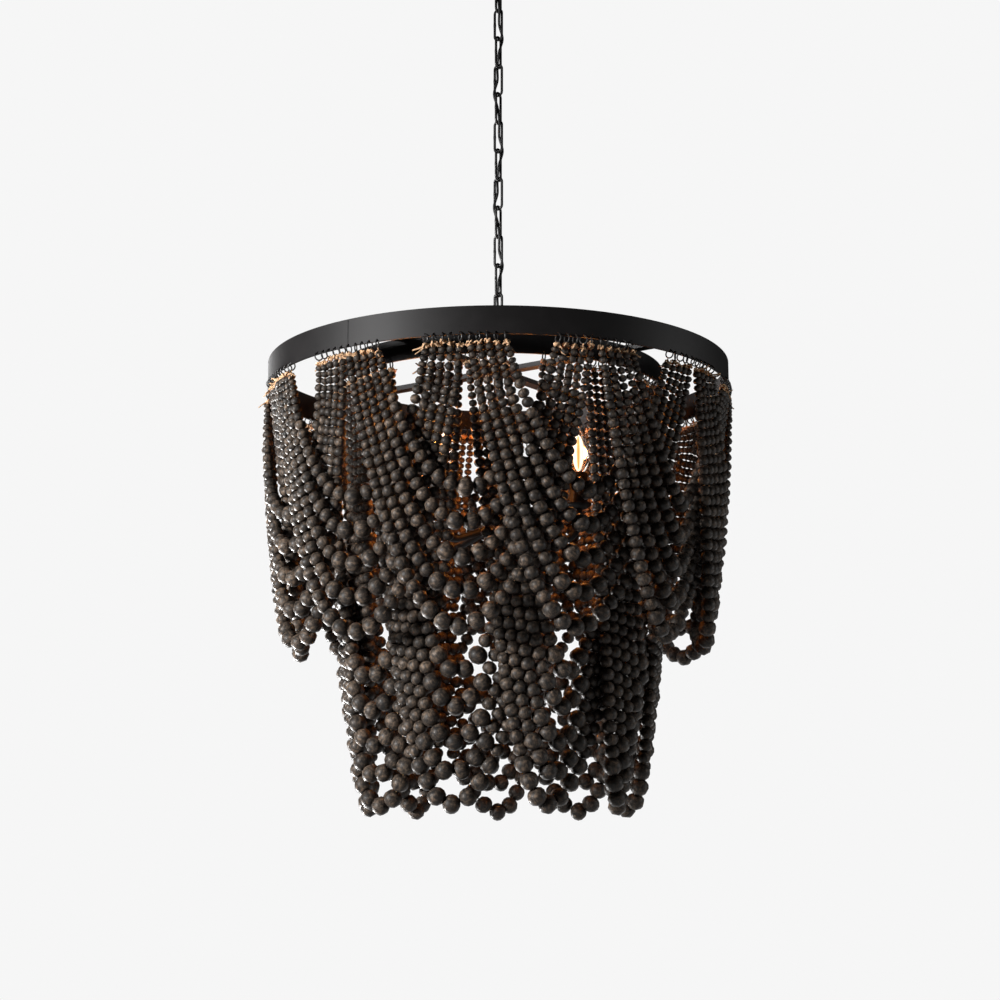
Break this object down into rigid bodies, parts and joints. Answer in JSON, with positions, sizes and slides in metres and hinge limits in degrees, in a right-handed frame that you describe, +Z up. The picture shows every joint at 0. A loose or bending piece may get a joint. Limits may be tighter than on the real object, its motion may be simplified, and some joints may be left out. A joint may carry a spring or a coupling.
{
  "type": "beaded chandelier",
  "caption": "Ceiling chandelier on a chain: a black double hoop with two tiers of graduated wooden bead swags round a cluster of candle lights.",
  "frame": {"origin": "middle of the strap's top face, on the ceiling plane", "axes": "+Z up along the chain, towards the ceiling; -Y is the front that the picture shows; +X to its right"},
  "size_m": [0.6182, 0.6182, 1.1917],
  "materials": {
    "black_steel": "matte black paint",
    "stained_wood": "charcoal stained satin wood",
    "cord_sheath": "black cord sheath",
    "bulb_glass": "warm clear glass"
  },
  "bodies": {
    "ceiling_fitting": {"ceiling_strap": "black_steel", "canopy": "black_steel", "canopy_nut": "black_steel", "canopy_loop": "black_steel", "supply_cord": "cord_sheath"},
    "link_01": {"chain_link_01": "black_steel"},
    "link_02": {"chain_link_02": "black_steel"},
    "link_03": {"chain_link_03": "black_steel"},
    "link_04": {"chain_link_04": "black_steel"},
    "link_05": {"chain_link_05": "black_steel"},
    "link_06": {"chain_link_06": "black_steel"},
    "link_07": {"chain_link_07": "black_steel"},
    "link_08": {"chain_link_08": "black_steel"},
    "link_09": {"chain_link_09": "black_steel"},
    "link_10": {"chain_link_10": "black_steel"},
    "link_11": {"chain_link_11": "black_steel"},
    "link_12": {"chain_link_12": "black_steel"},
    "fixture": {"fixture_loop": "black_steel", "hub": "black_steel", "outer_hoop": "black_steel", "inner_hoop": "black_steel", "cross_bar_a": "black_steel", "cross_bar_b": "black_steel", "stem_tube": "black_steel", "arm_hub": "black_steel", "finial": "black_steel", "lamp_arm_1": "black_steel", "lamp_arm_2": "black_steel", "lamp_arm_3": "black_steel", "lamp_arm_4": "black_steel", "lamp_socket_1": "black_steel", "lamp_socket_2": "black_steel", "lamp_socket_3": "black_steel", "lamp_socket_4": "black_steel"},
    "bulb_1_body": {"bulb_1": "bulb_glass"},
    "bulb_2_body": {"bulb_2": "bulb_glass"},
    "bulb_3_body": {"bulb_3": "bulb_glass"},
    "bulb_4_body": {"bulb_4": "bulb_glass"},
    "outer_swag_01_body": {"outer_swag_01": "stained_wood"},
    "outer_swag_02_body": {"outer_swag_02": "stained_wood"},
    "outer_swag_03_body": {"outer_swag_03": "stained_wood"},
    "outer_swag_04_body": {"outer_swag_04": "stained_wood"},
    "outer_swag_05_body": {"outer_swag_05": "stained_wood"},
    "outer_swag_06_body": {"outer_swag_06": "stained_wood"},
    "outer_swag_07_body": {"outer_swag_07": "stained_wood"},
    "outer_swag_08_body": {"outer_swag_08": "stained_wood"},
    "outer_swag_09_body": {"outer_swag_09": "stained_wood"},
    "outer_swag_10_body": {"outer_swag_10": "stained_wood"},
    "outer_swag_11_body": {"outer_swag_11": "stained_wood"},
    "outer_swag_12_body": {"outer_swag_12": "stained_wood"},
    "inner_swag_01_body": {"inner_swag_01": "stained_wood"},
    "inner_swag_02_body": {"inner_swag_02": "stained_wood"},
    "inner_swag_03_body": {"inner_swag_03": "stained_wood"},
    "inner_swag_04_body": {"inner_swag_04": "stained_wood"},
    "inner_swag_05_body": {"inner_swag_05": "stained_wood"},
    "inner_swag_06_body": {"inner_swag_06": "stained_wood"},
    "inner_swag_07_body": {"inner_swag_07": "stained_wood"},
    "inner_swag_08_body": {"inner_swag_08": "stained_wood"},
    "inner_swag_09_body": {"inner_swag_09": "stained_wood"}
  },
  "joints": [
    {"name": "link_01_hinge", "type": "hinge", "parent": "ceiling_fitting", "child": "link_01", "pos_m": [0, 0, -0.0566], "axis": [-0.8387, 0.5446, 0], "range_deg": [-8, 8], "deforming": ["supply_cord"]},
    {"name": "link_02_hinge", "type": "hinge", "parent": "link_01", "child": "link_02", "pos_m": [0, 0, -0.09655], "axis": [-0.5446, -0.8387, 0], "range_deg": [-8, 8], "deforming": ["supply_cord"]},
    {"name": "link_03_hinge", "type": "hinge", "parent": "link_02", "child": "link_03", "pos_m": [0, 0, -0.13725], "axis": [-0.8387, 0.5446, 0], "range_deg": [-2, 2], "deforming": ["supply_cord"]},
    {"name": "link_04_hinge", "type": "hinge", "parent": "link_03", "child": "link_04", "pos_m": [0, 0, -0.17795], "axis": [-0.5446, -0.8387, 0], "range_deg": [-2, 2], "deforming": ["supply_cord"]},
    {"name": "link_05_hinge", "type": "hinge", "parent": "link_04", "child": "link_05", "pos_m": [0, 0, -0.21865], "axis": [-0.8387, 0.5446, 0], "range_deg": [-2, 2], "deforming": ["supply_cord"]},
    {"name": "link_06_hinge", "type": "hinge", "parent": "link_05", "child": "link_06", "pos_m": [0, 0, -0.25935], "axis": [-0.5446, -0.8387, 0], "range_deg": [-2, 2], "deforming": ["supply_cord"]},
    {"name": "link_07_hinge", "type": "hinge", "parent": "link_06", "child": "link_07", "pos_m": [0, 0, -0.30005], "axis": [-0.8387, 0.5446, 0], "range_deg": [-2, 2], "deforming": ["supply_cord"]},
    {"name": "link_08_hinge", "type": "hinge", "parent": "link_07", "child": "link_08", "pos_m": [0, 0, -0.34075], "axis": [-0.5446, -0.8387, 0], "range_deg": [-2, 2], "deforming": ["supply_cord"]},
    {"name": "link_09_hinge", "type": "hinge", "parent": "link_08", "child": "link_09", "pos_m": [0, 0, -0.38145], "axis": [-0.8387, 0.5446, 0], "range_deg": [-2, 2], "deforming": ["supply_cord"]},
    {"name": "link_10_hinge", "type": "hinge", "parent": "link_09", "child": "link_10", "pos_m": [0, 0, -0.42215], "axis": [-0.5446, -0.8387, 0], "range_deg": [-2, 2], "deforming": ["supply_cord"]},
    {"name": "link_11_hinge", "type": "hinge", "parent": "link_10", "child": "link_11", "pos_m": [0, 0, -0.46285], "axis": [-0.8387, 0.5446, 0], "range_deg": [-2, 2], "deforming": ["supply_cord"]},
    {"name": "link_12_hinge", "type": "hinge", "parent": "link_11", "child": "link_12", "pos_m": [0, 0, -0.50355], "axis": [-0.5446, -0.8387, 0], "range_deg": [-2, 2], "deforming": ["supply_cord"]},
    {"name": "fixture_hinge", "type": "hinge", "parent": "link_12", "child": "fixture", "pos_m": [0, 0, -0.54425], "axis": [-0.8387, 0.5446, 0], "range_deg": [-2, 2], "deforming": ["supply_cord"]},
    {"name": "bulb_1_turn", "type": "hinge", "parent": "fixture", "child": "bulb_1_body", "pos_m": [0.10258, -0.07317, -0.78], "axis": [0, 0, 1], "range_deg": [0, 1440]},
    {"name": "bulb_2_turn", "type": "hinge", "parent": "fixture", "child": "bulb_2_body", "pos_m": [0.07317, 0.10258, -0.78], "axis": [0, 0, 1], "range_deg": [0, 1440]},
    {"name": "bulb_3_turn", "type": "hinge", "parent": "fixture", "child": "bulb_3_body", "pos_m": [-0.10258, 0.07317, -0.78], "axis": [0, 0, 1], "range_deg": [0, 1440]},
    {"name": "bulb_4_turn", "type": "hinge", "parent": "fixture", "child": "bulb_4_body", "pos_m": [-0.07317, -0.10258, -0.78], "axis": [0, 0, 1], "range_deg": [0, 1440]},
    {"name": "outer_swag_01_sway", "type": "hinge", "parent": "fixture", "child": "outer_swag_01_body", "pos_m": [-0.0357, -0.27115, -0.6397], "axis": [-0.9914, 0.1305, 0], "range_deg": [-2, 6]},
    {"name": "outer_swag_02_sway", "type": "hinge", "parent": "fixture", "child": "outer_swag_02_body", "pos_m": [0.10466, -0.25267, -0.6397], "axis": [-0.9239, -0.3827, 0], "range_deg": [-2, 6]},
    {"name": "outer_swag_03_sway", "type": "hinge", "parent": "fixture", "child": "outer_swag_03_body", "pos_m": [0.21698, -0.16649, -0.6397], "axis": [-0.6088, -0.7934, 0], "range_deg": [-2, 6]},
    {"name": "outer_swag_04_sway", "type": "hinge", "parent": "fixture", "child": "outer_swag_04_body", "pos_m": [0.27115, -0.0357, -0.6397], "axis": [-0.1305, -0.9914, 0], "range_deg": [-2, 6]},
    {"name": "outer_swag_05_sway", "type": "hinge", "parent": "fixture", "child": "outer_swag_05_body", "pos_m": [0.25267, 0.10466, -0.6397], "axis": [0.3827, -0.9239, 0], "range_deg": [-2, 6]},
    {"name": "outer_swag_06_sway", "type": "hinge", "parent": "fixture", "child": "outer_swag_06_body", "pos_m": [0.16649, 0.21698, -0.6397], "axis": [0.7934, -0.6088, 0], "range_deg": [-2, 6]},
    {"name": "outer_swag_07_sway", "type": "hinge", "parent": "fixture", "child": "outer_swag_07_body", "pos_m": [0.0357, 0.27115, -0.6397], "axis": [0.9914, -0.1305, 0], "range_deg": [-2, 6]},
    {"name": "outer_swag_08_sway", "type": "hinge", "parent": "fixture", "child": "outer_swag_08_body", "pos_m": [-0.10466, 0.25267, -0.6397], "axis": [0.9239, 0.3827, 0], "range_deg": [-2, 6]},
    {"name": "outer_swag_09_sway", "type": "hinge", "parent": "fixture", "child": "outer_swag_09_body", "pos_m": [-0.21698, 0.16649, -0.6397], "axis": [0.6088, 0.7934, 0], "range_deg": [-2, 6]},
    {"name": "outer_swag_10_sway", "type": "hinge", "parent": "fixture", "child": "outer_swag_10_body", "pos_m": [-0.27115, 0.0357, -0.6397], "axis": [0.1305, 0.9914, 0], "range_deg": [-2, 6]},
    {"name": "outer_swag_11_sway", "type": "hinge", "parent": "fixture", "child": "outer_swag_11_body", "pos_m": [-0.25267, -0.10466, -0.6397], "axis": [-0.3827, 0.9239, 0], "range_deg": [-2, 6]},
    {"name": "outer_swag_12_sway", "type": "hinge", "parent": "fixture", "child": "outer_swag_12_body", "pos_m": [-0.16649, -0.21698, -0.6397], "axis": [-0.7934, 0.6088, 0], "range_deg": [-2, 6]},
    {"name": "inner_swag_01_sway", "type": "hinge", "parent": "fixture", "child": "inner_swag_01_body", "pos_m": [-0.03606, -0.17723, -0.6397], "axis": [-0.9799, 0.1994, 0], "range_deg": [-3, 3]},
    {"name": "inner_swag_02_sway", "type": "hinge", "parent": "fixture", "child": "inner_swag_02_body", "pos_m": [0.0863, -0.15895, -0.6397], "axis": [-0.8788, -0.4772, 0], "range_deg": [-3, 3]},
    {"name": "inner_swag_03_sway", "type": "hinge", "parent": "fixture", "child": "inner_swag_03_body", "pos_m": [0.16828, -0.06629, -0.6397], "axis": [-0.3665, -0.9304, 0], "range_deg": [-3, 3]},
    {"name": "inner_swag_04_sway", "type": "hinge", "parent": "fixture", "child": "inner_swag_04_body", "pos_m": [0.17152, 0.05739, -0.6397], "axis": [0.3173, -0.9483, 0], "range_deg": [-3, 3]},
    {"name": "inner_swag_05_sway", "type": "hinge", "parent": "fixture", "child": "inner_swag_05_body", "pos_m": [0.0945, 0.15421, -0.6397], "axis": [0.8526, -0.5225, 0], "range_deg": [-3, 3]},
    {"name": "inner_swag_06_sway", "type": "hinge", "parent": "fixture", "child": "inner_swag_06_body", "pos_m": [-0.02673, 0.17888, -0.6397], "axis": [0.989, 0.1478, 0], "range_deg": [-3, 3]},
    {"name": "inner_swag_07_sway", "type": "hinge", "parent": "fixture", "child": "inner_swag_07_body", "pos_m": [-0.13546, 0.11984, -0.6397], "axis": [0.6626, 0.749, 0], "range_deg": [-3, 3]},
    {"name": "inner_swag_08_sway", "type": "hinge", "parent": "fixture", "child": "inner_swag_08_body", "pos_m": [-0.1808, 0.00473, -0.6397], "axis": [0.0262, 0.9997, 0], "range_deg": [-3, 3]},
    {"name": "inner_swag_09_sway", "type": "hinge", "parent": "fixture", "child": "inner_swag_09_body", "pos_m": [-0.14155, -0.11259, -0.6397], "axis": [-0.6225, 0.7826, 0], "range_deg": [-3, 3]}
  ],
  "couplings": [
    {"joint": "link_05_hinge", "follows": "link_03_hinge", "ratio": 1},
    {"joint": "link_06_hinge", "follows": "link_04_hinge", "ratio": 1},
    {"joint": "link_07_hinge", "follows": "link_03_hinge", "ratio": 1},
    {"joint": "link_08_hinge", "follows": "link_04_hinge", "ratio": 1},
    {"joint": "link_11_hinge", "follows": "link_09_hinge", "ratio": 1},
    {"joint": "link_12_hinge", "follows": "link_10_hinge", "ratio": 1},
    {"joint": "fixture_hinge", "follows": "link_09_hinge", "ratio": 1},
    {"joint": "outer_swag_02_sway", "follows": "outer_swag_01_sway", "ratio": 1},
    {"joint": "outer_swag_03_sway", "follows": "outer_swag_01_sway", "ratio": 1},
    {"joint": "outer_swag_04_sway", "follows": "outer_swag_01_sway", "ratio": 1},
    {"joint": "outer_swag_05_sway", "follows": "outer_swag_01_sway", "ratio": 1},
    {"joint": "outer_swag_06_sway", "follows": "outer_swag_01_sway", "ratio": 1},
    {"joint": "outer_swag_07_sway", "follows": "outer_swag_01_sway", "ratio": 1},
    {"joint": "outer_swag_08_sway", "follows": "outer_swag_01_sway", "ratio": 1},
    {"joint": "outer_swag_09_sway", "follows": "outer_swag_01_sway", "ratio": 1},
    {"joint": "outer_swag_10_sway", "follows": "outer_swag_01_sway", "ratio": 1},
    {"joint": "outer_swag_11_sway", "follows": "outer_swag_01_sway", "ratio": 1},
    {"joint": "outer_swag_12_sway", "follows": "outer_swag_01_sway", "ratio": 1},
    {"joint": "inner_swag_02_sway", "follows": "inner_swag_01_sway", "ratio": 1},
    {"joint": "inner_swag_03_sway", "follows": "inner_swag_01_sway", "ratio": 1},
    {"joint": "inner_swag_04_sway", "follows": "inner_swag_01_sway", "ratio": 1},
    {"joint": "inner_swag_05_sway", "follows": "inner_swag_01_sway", "ratio": 1},
    {"joint": "inner_swag_06_sway", "follows": "inner_swag_01_sway", "ratio": 1},
    {"joint": "inner_swag_07_sway", "follows": "inner_swag_01_sway", "ratio": 1},
    {"joint": "inner_swag_08_sway", "follows": "inner_swag_01_sway", "ratio": 1},
    {"joint": "inner_swag_09_sway", "follows": "inner_swag_01_sway", "ratio": 1}
  ]
}
